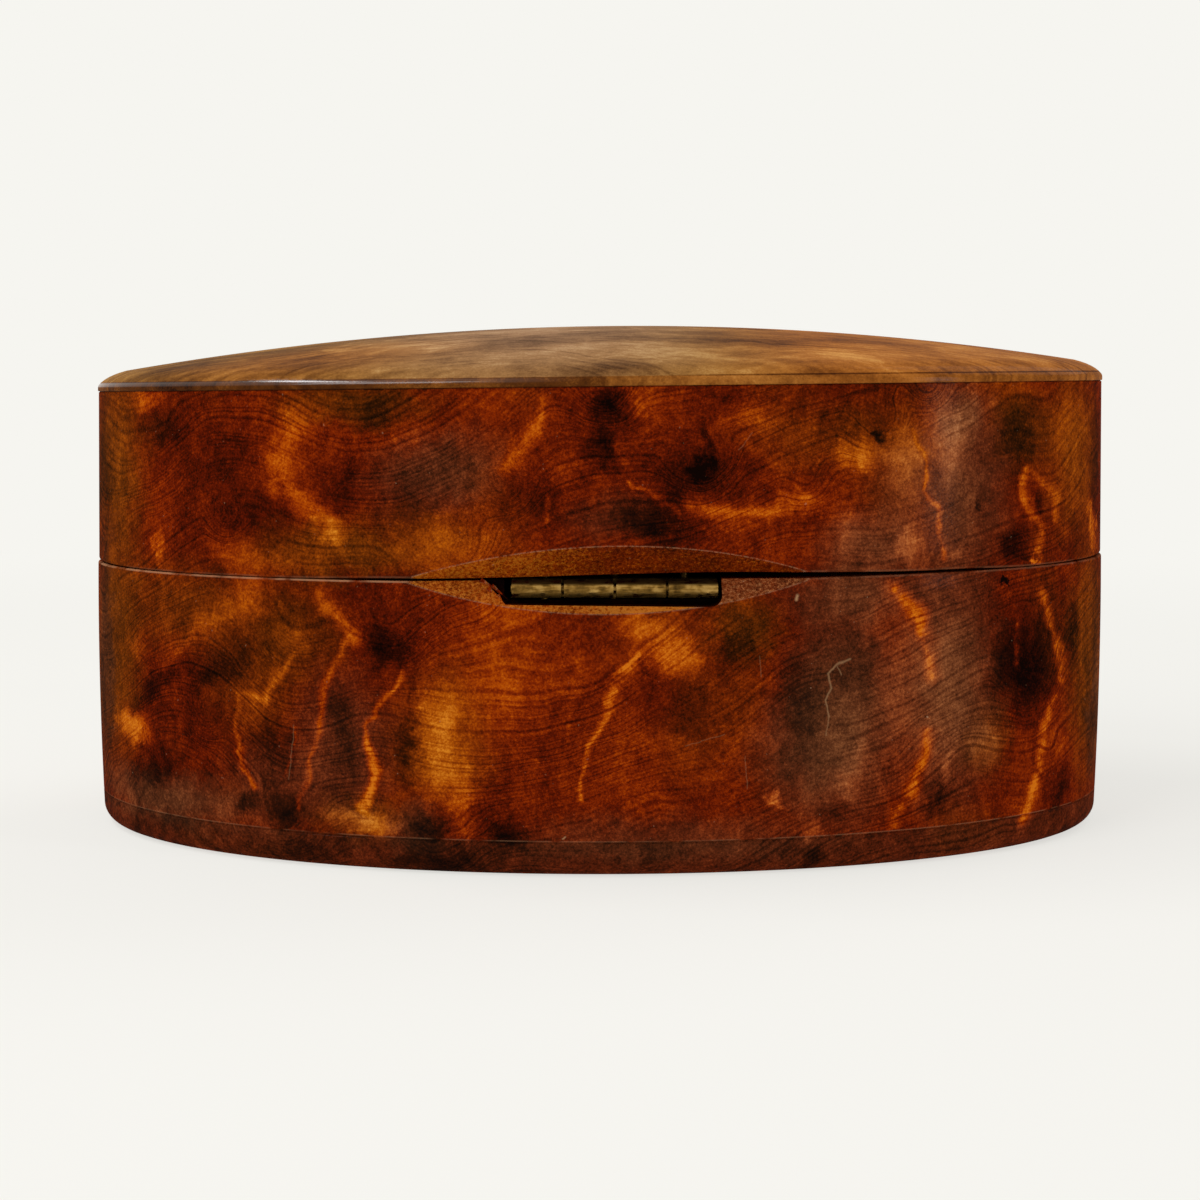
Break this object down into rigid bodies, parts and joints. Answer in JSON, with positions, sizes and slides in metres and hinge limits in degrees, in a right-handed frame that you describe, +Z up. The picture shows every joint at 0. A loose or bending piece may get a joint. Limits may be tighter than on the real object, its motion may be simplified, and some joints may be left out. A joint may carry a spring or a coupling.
{
  "type": "trinket box",
  "caption": "Oval burl-wood trinket box with a crowned, hinged lid, a thin base plate, stop chamfers at the back and a small rolled brass hinge let into the body wall.",
  "frame": {"origin": "centre of the flat underside, on the surface that the box stands on", "axes": "+X along the box's long axis, +Y towards the hinge at the back, +Z up"},
  "size_m": [0.1202, 0.0802, 0.0584],
  "materials": {
    "burl_wall": "figured red-brown burl under satin varnish",
    "burl_panel": "golden-brown burl under gloss varnish",
    "burl_base": "dark red-brown burl under satin varnish",
    "aged_brass": "dull, aged"
  },
  "bodies": {
    "body": {"base_plate": "burl_base", "body_wall": "burl_wall", "body_hinge_leaf": "aged_brass", "hinge_pin": "aged_brass", "body_hinge_nail_1": "aged_brass", "body_hinge_nail_2": "aged_brass", "body_hinge_nail_3": "aged_brass"},
    "lid": {"lid_wall": "burl_wall", "lid_panel": "burl_panel", "lid_hinge_leaf": "aged_brass", "lid_hinge_nail_1": "aged_brass", "lid_hinge_nail_2": "aged_brass", "lid_hinge_nail_3": "aged_brass"}
  },
  "joints": [
    {"name": "lid_hinge", "type": "hinge", "parent": "body", "child": "lid", "pos_m": [-0.0007, 0.03727, 0.02995], "axis": [-1, 0, 0], "range_deg": [0, 100]}
  ]
}
